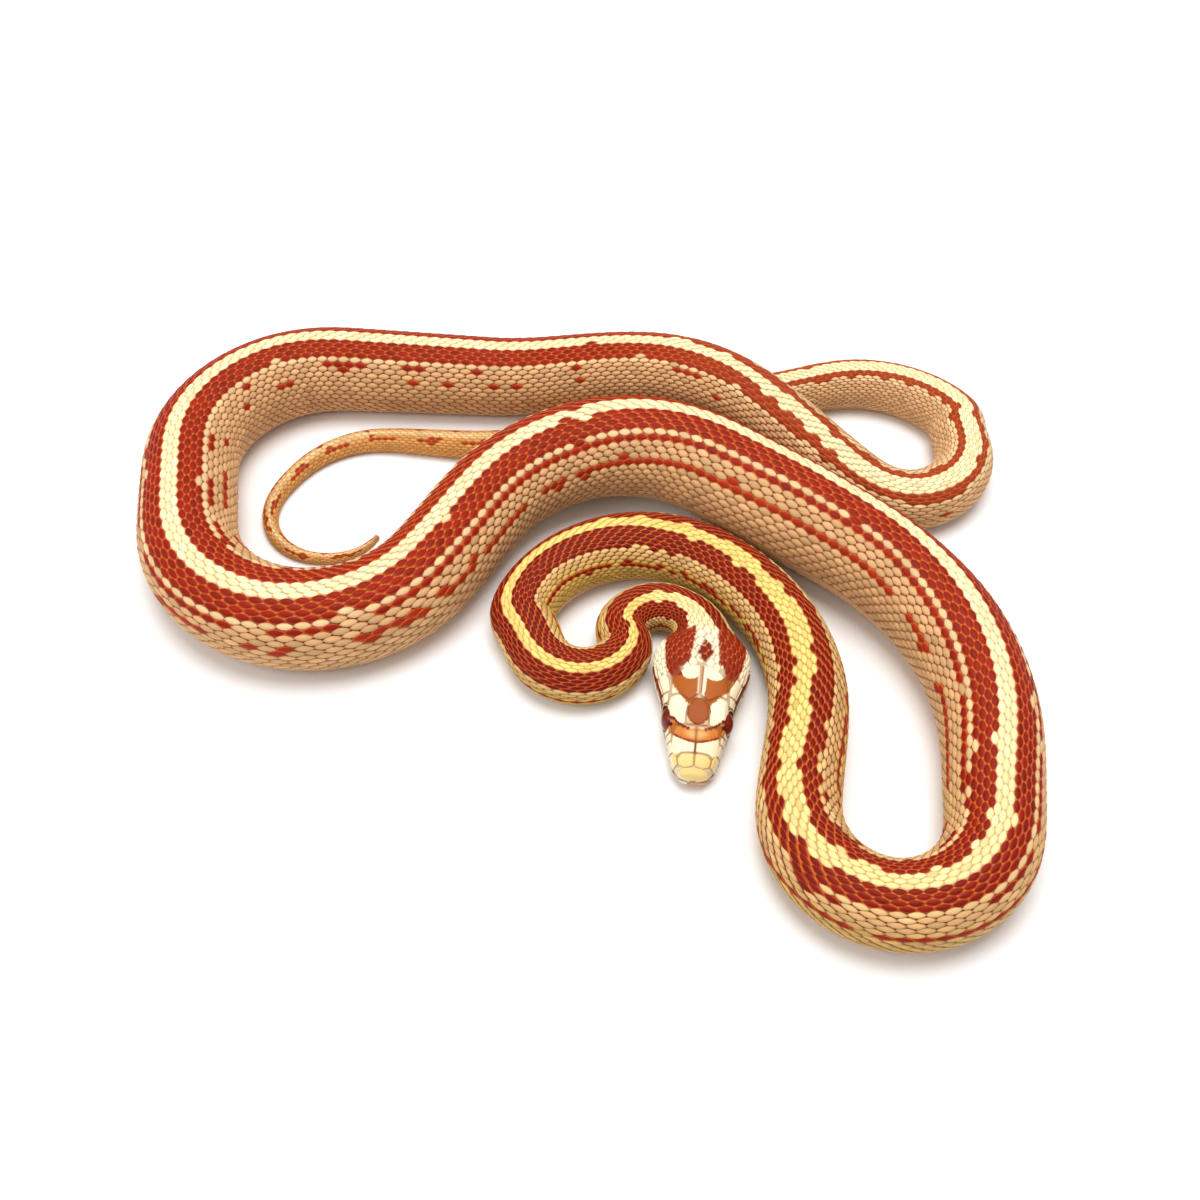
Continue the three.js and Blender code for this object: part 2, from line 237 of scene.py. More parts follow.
def section(s, angle):
    """How far to the right, and how high."""
    s, angle = np.broadcast_arrays(np.asarray(s, float), np.asarray(angle, float))
    t = np.clip((s - NECK_FROM) / NECK_REACH, 0, 1)
    t = t * t * (3 - 2 * t)
    head, body = head_section(s, angle), body_section(s, angle)
    return [h * (1 - t) + b * t for h, b in zip(head, body)]


def on_skin(s, angle):
    """Places on the skin, in millimetres."""
    s, angle = np.broadcast_arrays(np.asarray(s, float), np.asarray(angle, float))
    side, height = section(np.maximum(s, 0), angle)
    share = np.clip(1 + s, 0, 1)
    side = side * share
    height = np.where(s < 0, SNOUT_HEIGHT + (height - SNOUT_HEIGHT) * share, height)
    point, back, right = spine_at(np.maximum(s, 0))
    point = point - back * (SNOUT_CAP * (1 - share**2))[..., None]
    return np.concatenate([point + right * side[..., None], height[..., None]], -1)


def outward(s, angle):
    """Unit vectors out of the skin."""
    along = on_skin(s + 0.15, angle) - on_skin(s - 0.15, angle)
    round_ = on_skin(s, angle + 0.03) - on_skin(s, angle - 0.03)
    normal = np.cross(round_, along)
    normal /= np.linalg.norm(normal, axis=-1)[..., None] + 1e-12
    middle = on_skin(s, angle * 0)
    middle[..., 2] *= 0.5
    flip = np.sum(normal * (on_skin(s, angle) - middle), -1) < 0
    normal[flip] *= -1
    return normal


print("belly at", on_skin(400.0, math.pi), "back at", on_skin(400.0, 0.0))

# %% [markdown]
# ## Rows of scales, and the way the body is rolled
#
# A corn snake has about 27 rows of scales round its middle, in a lattice of lozenges. Here they
# are 37, since the photo's scales look a little finer than that. The body also rolls in each bend,
# so the stripe down its back leans one way and then the other. Rows are counted from that stripe:
# row 0 is on it, and 18 more go down each flank to the belly scutes, fewer on the tail.

# %% Roll of the back, and the angle of a row
ROLL_AT = [26, 46, 64, 73, 82, 93, 105, 133, 147, 159, 168, 177, 188, 213, 227, 243, 257, 274,
           291, 305, 318, 351, 365, 379, 394, 428, 465, 515, 530, 545, 556, 568, 600, 640]
ROLL = [4, 16, 18, 27, 30, 16, 2, 0, -14, -23, -14, 0, 6, -2, -10, -19, -28, -31,
        -27, -16, -9, -12, -3, 6, 10, 13, 9, 7, 3, -5, -12, -13, -9, 0]  # degrees
SCALED_FLANK = math.radians(132)  # each flank's scales end here, where the belly scutes begin
ZONES = [(15, 645, 18), (645, 702, 10), (702, 755, 6)]  # from, to, rows on each flank
SHORTEST, GROWTH = 0.98, 0.155  # length of a scale where the body is thinnest, and its growth


def roll_of(s):
    return np.radians(np.interp(s, ROLL_AT, ROLL)) * np.clip((np.asarray(s) - 18) / 8, 0, 1)


def rows_at(s):
    """Rows on one flank, and half a row to spare next to the scutes."""
    before = [np.asarray(s) < end for _, end, _ in ZONES]
    return np.select(before, [rows + 0.5 for *_, rows in ZONES], ZONES[-1][2] + 0.5)


def pitch_of(s):
    """Length of one scale: longer where the body is thick."""
    return SHORTEST + GROWTH * radius(s)


def angle_of(row, s):
    return roll_of(s) + row * SCALED_FLANK / rows_at(s)


def row_of(angle, s):
    return (angle - roll_of(s)) * rows_at(s) / SCALED_FLANK


def stations(start, end):
    """Where the rings of scales sit."""
    places = [start]
    while places[-1] < end:
        places.append(places[-1] + float(pitch_of(places[-1])))
    return np.array(places)


print("rings of scales", [len(stations(a, b)) for a, b, _ in ZONES])

# %% [markdown]
# ## The markings
#
# This colour kind has no black at all: cream, yellow, orange and red only. A cream stripe runs down
# the back between two red bands, and a broken red line runs along each flank. The colours come from
# one function of the row and the distance along the spine, asked by the skin and by every scale, so
# both carry the same markings. Painting an image would give less crisp scale edges.

# %% Colours
def srgb(r, g, b):
    """A colour as seen, turned into the light values that Blender works with."""
    c = np.array([r, g, b], float) / 255
    return np.where(c <= 0.04045, c / 12.92, ((c + 0.055) / 1.055) ** 2.4)


def mix(a, b, t):
    return a * (1 - t[..., None]) + b * t[..., None]


CREAM, YELLOW = srgb(248, 226, 176), srgb(242, 206, 112)
RED, DEEP_RED = srgb(138, 24, 2), srgb(112, 12, 1)
FLANK, FLANK_YELLOW = srgb(210, 164, 114), srgb(206, 168, 84)
LINE_RED, REAR_RED = srgb(156, 40, 10), srgb(150, 54, 18)
TAIL_GOLD = srgb(206, 146, 78)
GAP_RED = srgb(204, 100, 44)  # between red scales
GAP_TAN = srgb(160, 92, 48)  # between pale ones
GAP_DARK = srgb(132, 44, 18)  # between the pale ones next to a band
print("red in light values", RED.round(3))

# %% [markdown]
# Real bands waver and break up, and no two snakes have the same gaps. A sum of a few seeded sine
# waves along the spine gives such wandering edges, the same in each run, with its own set of waves
# for each flank.

# %% The body's markings
rng = np.random.default_rng(11)
WAVES = rng.uniform(0, 2 * np.pi, (6, 40))
LEFT_WAVES = 10  # the first layer of waves of the left flank
STRIPE_HALF, BAND_HALF = 1.5, 5.5  # in rows from the middle of the back
FIRST_LINE, SECOND_LINE, LINE_HALF = 7.0, 11.0, 0.56
TAIL_FROM = 655
TAIL_DASHES = dict(row=0.28, half=0.8, turn=0.72)


def wander(s, layer, length=22.0):
    """A smooth seeded wave between about -1 and 1 along the spine."""
    total = 0
    for k in range(len(WAVES)):
        phase = 2 * np.pi * np.asarray(s) / (length / (1 + 0.9 * k)) + WAVES[k, layer]
        total = total + np.sin(phase)
    return total / 3.0


def ramp(s, start, reach):
    """0 at `start` and 1 at `start + reach`, with a reach below 0 for a ramp to the snout."""
    return np.clip((s - start) / reach, 0, 1)


def body_marking(s, row, jitter=0.0):
    """Core colour of a scale at a row and place. jitter frays the edges of the bands."""
    s, row = np.broadcast_arrays(np.asarray(s, float), np.asarray(row, float))
    side = np.where(row > 0, 0, LEFT_WAVES)
    frayed = abs(row) + jitter
    fore, spread, rear = ramp(s, 235, -90), ramp(s, 200, -130), ramp(s, 500, 60)
    wave = wander(s, side)
    stripe = mix(CREAM, YELLOW, fore * 0.9 * ramp(s, 24, 16))
    red = mix(mix(RED, REAR_RED, rear), DEEP_RED, fore)
    flank = mix(FLANK, FLANK_YELLOW, fore * np.clip((abs(row) - 8) / 3, 0.25, 1))
    stripe_edge = STRIPE_HALF + np.clip(1.2 - abs(s - 150) / 60, 0, 1) * (0.7 + 0.3 * wave)
    stripe_edge = stripe_edge + 0.8 * rear + 1.3 * ramp(s, 40, -14)
    band_edge = BAND_HALF + 2.0 * spread - 0.6 * rear + 0.25 * wave
    middle = np.clip(1 - abs(s - 290) / 130, 0, 1)
    first = abs(frayed - (FIRST_LINE + spread)) < LINE_HALF
    first &= wander(s, side + 1, 60) + 2.2 * middle - 1.6 * rear - fore > 0.15
    second = abs(frayed - (SECOND_LINE - ramp(s, 330, 60) + spread)) < LINE_HALF
    gaps = wander(s, side + 2, 75) + wander(s, side + 3, 24)
    second &= gaps + 2.0 * middle + 1.6 * fore - 1.3 * rear > 0.55
    pale = (frayed < 6.5 + 2.4 * spread) & (frayed >= band_edge)
    blush = 0.3 * mix(CREAM, YELLOW, fore * 0.7) + 0.7 * flank
    tail = s > TAIL_FROM
    dash = abs(frayed - TAIL_DASHES["row"] * rows_at(s)) < TAIL_DASHES["half"]
    dash &= tail & (np.sin(TAIL_DASHES["turn"] * s + side) > -0.1)
    gold = mix(TAIL_GOLD, CREAM, np.clip((1.5 - abs(row)) / 2, 0, 0.5))
    colour = flank.copy()
    for where, what in ((pale, blush), (first, red * 1.05),
                        (second, mix(LINE_RED, DEEP_RED * 1.5, fore)), (frayed < band_edge, red),
                        (frayed < stripe_edge, stripe), (tail, gold)):
        colour[where] = what[where]
    colour[dash] = REAR_RED
    return colour


print("band at mid-body", body_marking(300.0, 3.0).round(3))

# %% [markdown]
# The head has its own pattern: the cream stripe forks round a dark diamond and ends in two pale
# lobes, cream bands run from the jaw's corners to the brows, and an orange bar lies across the
# snout between the eyes. Each mark is a small shape in millimetres from the snout and the middle
# line.

# %% The head's markings
PARIETAL, FRONTAL = srgb(168, 88, 26), srgb(158, 76, 20)
BROW_CREAM, LIP_CREAM = srgb(245, 231, 194), srgb(238, 222, 192)
SNOUT_YELLOW, BAR_ORANGE = srgb(234, 206, 134), srgb(208, 124, 54)
TEMPLE_RED, SEAM_RED, BAR_EDGE = srgb(134, 30, 6), srgb(116, 22, 5), srgb(150, 52, 14)
CROWN_EDGE = ([10, 11.5, 12.8, 16, 18, 21, 24], [1.8, 2.9, 4.0, 5.4, 6.0, 6.3, 6.3])
HEAD_TURN = 0.03  # the pattern is this much askew, as in the photo


def head_marking(x, y, angle):
    x, y, angle = np.broadcast_arrays(np.asarray(x, float), y, angle)
    y = y + HEAD_TURN * np.clip(x - 6, 0, 30)
    a, g = abs(y), np.degrees(abs(angle))
    colour = BROW_CREAM * np.ones(x.shape + (3,))

    def paint(where, what):
        colour[where] = what

    def blob(cx, cy, rx, ry):
        return ((x - cx) / rx) ** 2 + ((a - cy) / ry) ** 2 < 1

    band = np.interp(x, *CROWN_EDGE)
    paint((x > 10.0) & (a < band), PARIETAL)
    paint((x > 14.9) & (a < band) & (a > 0.8), TEMPLE_RED)
    paint((x > 10.0) & (a < 0.5 + 0.03 * (x - 10)), BROW_CREAM)
    paint(blob(15.9, 1.8, 1.6, 1.5), BROW_CREAM)
    paint((x > 16.2) & (a < 2.35 - 0.09 * (x - 16.5)), BROW_CREAM)
    paint((x > 17.3) & (abs(x - 19.7) / 2.6 + a / 1.3 < 1), SEAM_RED)
    paint((x > 12) & (x < 17.3) & (a < 0.08), FRONTAL)
    paint((x > 6) & (x < 8) & (a < 1.6), BAR_ORANGE * 0.5 + BROW_CREAM * 0.5)
    paint(blob(9.0, 0, 2.2, 1.8), FRONTAL * 0.7)
    paint(blob(9.0, 0, 1.95, 1.55), FRONTAL)
    curve = 5.6 + 0.11 * y**2
    bar = (x > curve - 1.3) & (x < curve + 0.6) & (g < 64)
    warm = 0.5 * np.clip(1.2 - ((x - curve + 0.2) / 0.7) ** 2 - (a / 1.9) ** 2, 0, 1)
    paint(bar, mix(BAR_ORANGE, SNOUT_YELLOW, warm)[bar])
    paint((x > curve + 0.3) & (x < curve + 0.72) & (g < 66) & (a > 1.1), SEAM_RED)
    paint((x > curve - 1.4) & (x < curve - 1.05) & (g < 50), BAR_EDGE)
    paint((x < 2.75) & (g < 70), SNOUT_YELLOW)
    paint((x > 2.8) & (x < curve - 1.35) & (a < 0.1), SEAM_RED)
    paint((x <= 11) & (g > 62), LIP_CREAM)
    paint((x > 11) & (g > 87), LIP_CREAM)
    streak = 8 * np.sqrt(np.clip((19 - x) / 6, 0, 1)) + np.sin(2.6 * x)
    paint((x > 9.5) & (abs(g - 79) < streak), TEMPLE_RED)
    return colour


print("crown", head_marking(9.0, 0.0, 0.0).round(3))

# %% [markdown]
# Behind the jaw the head's pattern gives way to the body's along a slightly wavy line, and under
# the body all colours fade to a pale belly. One function joins them, so that the skin, the scales
# and the plates only ever ask for a colour at a place.

# %% Colour anywhere on the snake
HEAD_ENDS, BELLY_FROM = 24.5, 146  # in millimetres from the snout, and in degrees round


def marking(s, angle, jitter=0.0):
    s, angle = np.broadcast_arrays(np.asarray(s, float), np.asarray(angle, float))
    body = body_marking(s, row_of(angle, s), jitter)
    head = head_marking(s, section(s, angle)[0], angle)
    colour = np.where((s < HEAD_ENDS + 0.5 * np.sin(angle * 9))[..., None], head, body)
    belly = np.clip((np.degrees(abs(angle)) - BELLY_FROM) / 5, 0, 1)
    return mix(colour, FLANK * 1.05, belly)


print("belly", marking(300.0, math.pi).round(3))

# %% [markdown]
# ## Finishes
#
# Scales are satin: a soft sheen over horn. The colour of each point is stored on the mesh as its
# markings, together with painted shade at the edges of scales, plates and scutes and a painted
# highlight on each scale's top. Nodes add what paint can't: fine mottling, a slight change of gloss
# from scale to scale and a minute grain. The eye is the one wet, glassy thing on a snake.

# %% Materials
SHEEN = 0.13  # low, as light lies broken on the scales
SPECKLE_SCALE = 900  # about one speckle to each scale
GLOSS_SPREAD = 0.07


def new_material(name, roughness, grain, grain_scale, mottle, coat=0.0):
    material = bpy.data.materials.new(name)
    material.use_nodes = True
    nodes, links = material.node_tree.nodes, material.node_tree.links
    shader = nodes["Principled BSDF"]
    for socket, value in (("Specular IOR Level", SHEEN), ("Coat Weight", coat),
                          ("Coat Roughness", 0.25), ("Subsurface Weight", 0.06),
                          ("Subsurface Radius", (1.0, 0.45, 0.25)),
                          ("Subsurface Scale", 0.0006)):
        shader.inputs[socket].default_value = value
    paint = nodes.new("ShaderNodeVertexColor")
    paint.layer_name = "markings"
    place = nodes.new("ShaderNodeTexCoord")

    def noise(scale):
        node = nodes.new("ShaderNodeTexNoise")
        node.inputs["Scale"].default_value = scale
        links.new(place.outputs["Object"], node.inputs["Vector"])
        return node

    def spread(source, middle, reach):
        node = nodes.new("ShaderNodeMapRange")
        node.inputs["To Min"].default_value = middle - reach
        node.inputs["To Max"].default_value = middle + reach
        links.new(source.outputs["Fac"], node.inputs["Value"])
        return node.outputs["Result"]

    speckle = noise(SPECKLE_SCALE)
    speckle.inputs["Detail"].default_value = 3
    tint = nodes.new("ShaderNodeVectorMath")
    tint.operation = "SCALE"
    links.new(paint.outputs["Color"], tint.inputs[0])
    links.new(spread(speckle, 1, mottle), tint.inputs["Scale"])
    links.new(tint.outputs["Vector"], shader.inputs["Base Color"])
    links.new(spread(speckle, roughness, GLOSS_SPREAD), shader.inputs["Roughness"])
    bump = nodes.new("ShaderNodeBump")
    bump.inputs["Strength"].default_value = grain
    bump.inputs["Distance"].default_value = 0.00005
    links.new(noise(grain_scale).outputs["Fac"], bump.inputs["Height"])
    links.new(bump.outputs["Normal"], shader.inputs["Normal"])
    return material


skin_finish = new_material("soft_skin", 0.62, 0.5, 2600, 0.10)
scale_finish = new_material("satin_scales", 0.48, 0.35, 3200, 0.10)
plate_finish = new_material("head_plates", 0.42, 0.25, 2400, 0.08)
belly_finish = new_material("belly_scutes", 0.40, 0.25, 2000, 0.05)
print("finishes", [m.name for m in (skin_finish, scale_finish, plate_finish, belly_finish)])

# %% [markdown]
# ## Turning arrays into pieces
#
# Everything is worked out as arrays of points in millimetres. One helper makes them a mesh in
# metres, stores the markings and the map of where each point lies on the flat skin, and tells the
# frame what the piece rides on. Doing it once keeps every piece alike.

# %% Helpers that make a piece
def make_piece(name, points, faces, colours, patches, material, smooth=True):
    mesh = bpy.data.meshes.new(name)
    mesh.from_pydata((np.asarray(points) * MM).tolist(), [], np.asarray(faces).tolist()
                     if isinstance(faces, np.ndarray) else faces)
    paint = mesh.color_attributes.new("markings", "FLOAT_COLOR", "POINT")
    rgba = np.c_[np.clip(colours, 0, 1), np.ones(len(points))]
    paint.data.foreach_set("color", rgba.astype(np.float32).ravel())
    corners = np.empty(len(mesh.loops), np.int32)
    mesh.loops.foreach_get("vertex_index", corners)
    layer = mesh.uv_layers.new(name="OFBake")
    layer.data.foreach_set("uv", np.asarray(patches)[corners].astype(np.float32).ravel())
    if smooth:
        mesh.polygons.foreach_set("use_smooth", np.ones(len(mesh.polygons), bool))
    mesh.materials.append(material)
    mesh.update()
    piece = bpy.data.objects.new(name, mesh)
    bpy.context.collection.objects.link(piece)
    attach(piece, "root")
    triangles = sum(len(p.vertices) - 2 for p in mesh.polygons)
    print(name, len(mesh.vertices), "points", triangles, "triangles")
    return piece


def face_outwards(piece, weld=0.0):
    """Turn every face outwards, after joining points that lie within `weld` metres."""
    mesh = bmesh.new()
    mesh.from_mesh(piece.data)
    if weld:
        bmesh.ops.remove_doubles(mesh, verts=mesh.verts, dist=weld)
    bmesh.ops.recalc_face_normals(mesh, faces=mesh.faces)
    mesh.to_mesh(piece.data)
    mesh.free()


def unwrap(s, angle):
    """Where a point of the skin lies on the flat skin, each way from 0 to 1."""
    turned = (np.asarray(angle) + np.pi) % (2 * np.pi) - np.pi
    return np.stack([0.01 + 0.98 * np.asarray(s) / (LENGTH + 1), 0.5 + 0.49 * turned / np.pi], -1)


def ring_pairs(start, rings, around):
    """Each point of each ring, with the next point round the same ring."""
    for i in range(rings):
        for k in range(around):
            yield start + i * around + k, start + i * around + (k + 1) % around


print("the tail tip on the flat skin", unwrap(LENGTH, 0.0).round(3))

# %% [markdown]
# ## The skin
#
# The skin is one tube of rings from the snout to the tail tip, finer on the head. It dents at the
# eyes, so that they sit in sockets, and has a fine groove for the shut mouth. A tube drawn from the
# same sections as the solids keeps to their size exactly, which a sculpted or remeshed body would
# not.

# %% Places on the skin's rings
EYE = dict(x=8.6, y=3.9, z=5.1, radius=2.15, flat=0.75)
EYE_ANGLE = math.radians(72)
SOCKET_WIDE, SOCKET_HIGH, SOCKET_DEEP = 2.15, 2.05, 1.5
MOUTH = ([0, 4, 9, 14, 17.8], [94, 97, 100, 99, 96])  # the mouth line: s, and degrees round
MOUTH_CORNER, MOUTH_DEEP = 17.8, 0.18
NEAR_MOUTH = [94.5, 98.5, 101]  # more columns of points for the groove


def socket_dent(s, angle):
    across = 4.6 * (abs(angle) - EYE_ANGLE)
    d = np.hypot((s - EYE["x"]) / SOCKET_WIDE, across / SOCKET_HIGH)
    return SOCKET_DEEP * np.clip(1.12 - d, 0, 0.4) / 0.4


def from_mouth(s, angle):
    """Degrees round the head from the mouth line."""
    return abs(np.degrees(abs(angle)) - np.interp(s, *MOUTH))


ring_at = np.r_[-0.95, -0.6, -0.3, np.arange(0, 30, 0.4), np.arange(30, LENGTH, 1.0), LENGTH]
columns = np.sort(np.r_[np.arange(-180, 180, 6), np.negative(NEAR_MOUTH), NEAR_MOUTH])
AROUND = len(columns)
S, A = np.meshgrid(ring_at, np.radians(columns), indexing="ij")
skin_points = on_skin(S, A)
groove = MOUTH_DEEP * np.clip(1.6 - from_mouth(S, A) / 2, 0, 1) * (S < MOUTH_CORNER)
skin_points -= outward(S, A) * (np.where(S < 14, socket_dent(S, A), 0) + groove)[..., None]
print("skin", len(ring_at), "rings of", AROUND)

# %% [markdown]
# Between real scales the soft skin shows as a thin darker net. It is orange between red scales and
# tan between pale ones, so the skin gets its own colours instead of those of the scales. On the
# head, the stripe and the tail, the net is the markings darkened and mixed with tan: partly the
# seams' colour, partly a painted shade in the gaps.

# %% Colours of the gaps, and the skin
# The mouth line is a painted shade in the groove of the shut mouth.
MOUTH_SHADE = srgb(84, 34, 22)
RED_BELOW = 0.12  # a marking counts as red when its green is below this


def gap_colour_and_shade(s, angle):
    """Colour of the skin that shows between the scales, with painted shade in the seams and the
    mouth.
    """
    colour = marking(s, angle)
    row = abs(row_of(angle, s))
    red = (colour[..., 1] < RED_BELOW) & (s > 18)
    pale = ~red & (row > 3) & (s > 24) & (s < TAIL_FROM)
    # Elsewhere the gap is the markings darkened and mixed with tan: seam colour, and painted shade
    # in the gaps.
    seam_tan_and_shade = np.where((s < 0.9)[..., None], LIP_CREAM * 0.9, colour * 0.45 + GAP_TAN * 0.4)
    # Painted shade along the mouth groove.
    mouth = (s < 18) & (from_mouth(s, angle) < 3)
    colour = np.where(mouth[..., None], MOUTH_SHADE, seam_tan_and_shade)
    colour[red] = GAP_RED
    colour[pale] = mix(GAP_DARK, GAP_TAN, np.clip((row - 9) / 4, 0, 1))[pale]
    return colour


points = np.concatenate([skin_points.reshape(-1, 3), [skin_points[0].mean(0)],
                         [skin_points[-1].mean(0)]])
snout, tip, last = len(points) - 2, len(points) - 1, (len(ring_at) - 1) * AROUND
faces = [(a, a + AROUND, b + AROUND, b) for a, b in ring_pairs(0, len(ring_at) - 1, AROUND)]
for a, b in ring_pairs(0, 1, AROUND):
    faces += [(a, b, snout), (last + b, last + a, tip)]
colours = np.concatenate([gap_colour_and_shade(S, A).reshape(-1, 3), [LIP_CREAM, TAIL_GOLD]])
patches = np.concatenate([unwrap(S, A).reshape(-1, 2), [[0.01, 0.5], [0.99, 0.5]]])
skin = make_piece("skin", points, faces, colours, patches, skin_finish)
FLESH = [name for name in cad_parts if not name.startswith("eye")]
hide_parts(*FLESH)

# %% [markdown]
# ## Body scales
#
# Each scale is a small horny lozenge, sunk at the front and raised at the back, where it laps the
# next one. One outline and one height profile serve every scale, and the lattice gives each its
# place, size and colour. Instances would look alike, but the exported model needs real meshes.

# %% The shape of one scale
OUTLINE = np.array([(-0.56, 0), (-0.38, 0.34), (-0.10, 0.57), (0.20, 0.56), (0.44, 0.33), (0.60, 0),
                    (0.44, -0.33), (0.20, -0.56), (-0.10, -0.57), (-0.38, -0.34)])
SIDES = len(OUTLINE)
LAYERS = [  # share of the outline, height at the front and at the back, in thicknesses
    (1.0, -0.9, -0.5),
    (1.0, -0.35, 0.55),
    (0.72, 0.25, 1.05),
]
NAPE_ENDS = 27  # in front of this, each point of a scale has the colour of its own place


def scale_pattern():
    """Triangles of one scale: its sides, its top and its root."""
    pattern = []
    for k in range(SIDES):
        n = (k + 1) % SIDES
        for low, high in ((0, SIDES), (SIDES, 2 * SIDES)):
            pattern += [(low + k, low + n, high + n), (low + k, high + n, high + k)]
        pattern.append((2 * SIDES + k, 2 * SIDES + n, 3 * SIDES))
        pattern.append((n, k, 3 * SIDES + 1))
    return np.array(pattern)


def build_scales(name, at, row, tones):
    """Joined scales at distances `at` and rows `row`, with a spread of tones."""
    pitch = pitch_of(at)
    thick = 0.05 + 0.019 * radius(at)
    middle = angle_of(row, at)
    core = marking(at, middle, tones[:, 0])
    # Rims: on red scales the orange of the gap skin; on pale and stripe scales a darker copy of the
    # core, partly tan skin colour and partly painted shade at the scale's edge.
    rim = core * 0.5 + GAP_TAN * 0.3
    stripe = (abs(row) < 3) & (core[:, 1] > 0.3)
    rim[stripe] = core[stripe] * 0.78 + YELLOW * 0.07
    reds = core[:, 1] < RED_BELOW
    rim[reds] = core[reds] * 0.25 + GAP_RED * 0.85
    core = core * (1 + 0.09 * tones[:, 1:2])
    nape = (at < NAPE_ENDS)[:, None]
    root = unwrap(at, middle)
    parts, shades, patches = [], [], []

    def ring(layer, colour, gap_skin_and_shade, shift=0.0):
        """One ring of each scale; the last argument adds gap skin to red ones and painted shade to
        pale ones.
        """
        share, front, back = layer
        along = OUTLINE[:, 0] * share + shift
        s = at[:, None] + along * pitch[:, None]
        r = row[:, None] + OUTLINE[:, 1] * share * 1.04
        t = np.clip((OUTLINE[:, 0] + 0.52) / 1.12, 0, 1)[None]
        lift = (front * thick)[:, None] * (1 - t) + (back * thick)[:, None] * t
        angle = angle_of(r, at[:, None])
        parts.append(on_skin(s, angle) + outward(s, angle) * lift[..., None])
        shade = np.repeat(colour[:, None], SIDES, 1)
        if nape.any():
            local = marking(s, angle)
            # Near the head each ring takes its own place's colour, and the lower rings of pale
            # scales are darkened as painted shade.
            local = np.where(local[..., 1:2] < RED_BELOW,
                             local * (1 - gap_skin_and_shade) + GAP_RED * gap_skin_and_shade * 0.7, local * (1 - 0.3 * gap_skin_and_shade))
            shade = np.where(nape[..., None], local, shade)
        shades.append(shade)
        patches.append(root[:, None] + 0.0026 * OUTLINE[None] * share)

    # The lowest ring is darker still, a painted shade where the scale meets the skin.
    ring(LAYERS[0], rim * 0.8, 1.0)
    ring(LAYERS[1], rim, 0.8)
    ring(LAYERS[2], core, 0.0, 0.02)
    # A lighter point on each scale's top is a painted highlight, and a darker one under the root is
    # a painted shade.
    for offset, height, colour in ((0.04, 1.0, core * 1.06), (0.0, -1.2, rim * 0.7)):
        s = at + offset * pitch
        lift = (height * thick)[:, None]
        parts.append((on_skin(s, middle) + outward(s, middle) * lift)[:, None])
        shades.append(colour[:, None])
        patches.append(root[:, None])
    points = np.concatenate(parts, 1)
    colours = np.concatenate(shades, 1)
    maps = np.concatenate(patches, 1)
    pattern = scale_pattern()
    starts = np.arange(len(at)) * points.shape[1]
    faces = (pattern[None] + starts[:, None, None]).reshape(-1, 3)
    a, b, c = (points[:, pattern[1][j]] for j in range(3))
    if np.sum(np.cross(b - a, c - a) * outward(at, middle), -1).mean() < 0:
        faces = faces[:, ::-1]
    return make_piece(name, points.reshape(-1, 3), faces, colours.reshape(-1, 3),
                      maps.reshape(-1, 2), scale_finish)


print("one scale", len(scale_pattern()), "triangles")

# %% [markdown]
# The rings of scales are a half step apart in every second row, as the lozenges fit between each
# other. The lattice stops behind the head plates along a curved line, and the body is cut in six
# lengths, so that no mesh gets too large.

# %% Lay the scales out, ring by ring
NAPE_LINE = ([0, 12, 24, 36, 50, 68, 72, 90],  # degrees round, and the first scale's place
             [16.9, 16.6, 15.7, 14.9, 15.3, 15.6, 18.2, 18.3])
PIECES = [("neck_scales", 0, 110), ("fore_scales", 110, 220), ("mid_scales", 220, 340),
          ("rear_scales", 340, 480), ("hind_scales", 480, 634), ("tail_scales", 634, 800)]
FRAY, TONE_SPREAD = 0.22, 1


def lattice(start, end, flank_rows):
    at, row = [], []
    for s in stations(start, end)[:-1]:
        pitch = float(pitch_of(s))
        for r in range(-flank_rows, flank_rows + 1):
            at.append(s + (0.5 * pitch if r % 2 else 0.0))
            row.append(float(r))
    return np.array(at), np.array(row)


every_at, every_row = np.concatenate([lattice(*zone) for zone in ZONES], axis=1)
first = np.interp(abs(np.degrees(angle_of(every_row, every_at))), *NAPE_LINE)
keep = (every_at > first) & (every_at < LENGTH - 1.2)
every_at, every_row = every_at[keep], every_row[keep]
for name, low, high in PIECES:
    mine = (every_at >= low) & (every_at < high)
    tones = np.c_[rng.normal(0, FRAY, mine.sum()), rng.normal(0, TONE_SPREAD, mine.sum())]
    piece = build_scales(name, every_at[mine], every_row[mine], tones)
print("scales", len(every_at))

# %% [markdown]
# ## Plates of the head
#
# A snake's head is covered by large plates in a set order: rostral, internasals, prefrontals, the
# frontal between two brow plates, and two parietals. Each is an outline laid on the skin and raised
# a little, so its edge catches light. Cutting the lines into the skin by a bump would stay flat in
# the exported mesh.

# %% A plate laid on the skin
PLATE_RINGS = [(1.0, -0.6), (1.0, 0.35), (0.95, 0.8)]  # share of the outline, rise in heights
PLATE_RINGS += [(share, 1.1 - 0.15 * share) for share in np.arange(0.86, 0.05, -0.1)]
PLATE_ENDS = [(0.0, 1.1), (0.0, -0.6)]  # the middle of the top, and of the underside
HALF_HEAD = 5  # millimetres to a radian round the head


def edge_points(corners, spacing):
    """Corners joined by evenly spaced points, then rounded a little."""
    corners = np.array(corners, float)
    out = []
    for a, b in zip(corners, np.roll(corners, -1, 0)):
        reach = math.hypot(b[0] - a[0], (b[1] - a[1]) * HALF_HEAD)
        for t in np.linspace(0, 1, max(2, math.ceil(reach / spacing)), endpoint=False):
            out.append(a + (b - a) * t)
    out = np.array(out)
    for _ in range(2):
        out = 0.5 * out + 0.25 * (np.roll(out, 1, 0) + np.roll(out, -1, 0))
    return out


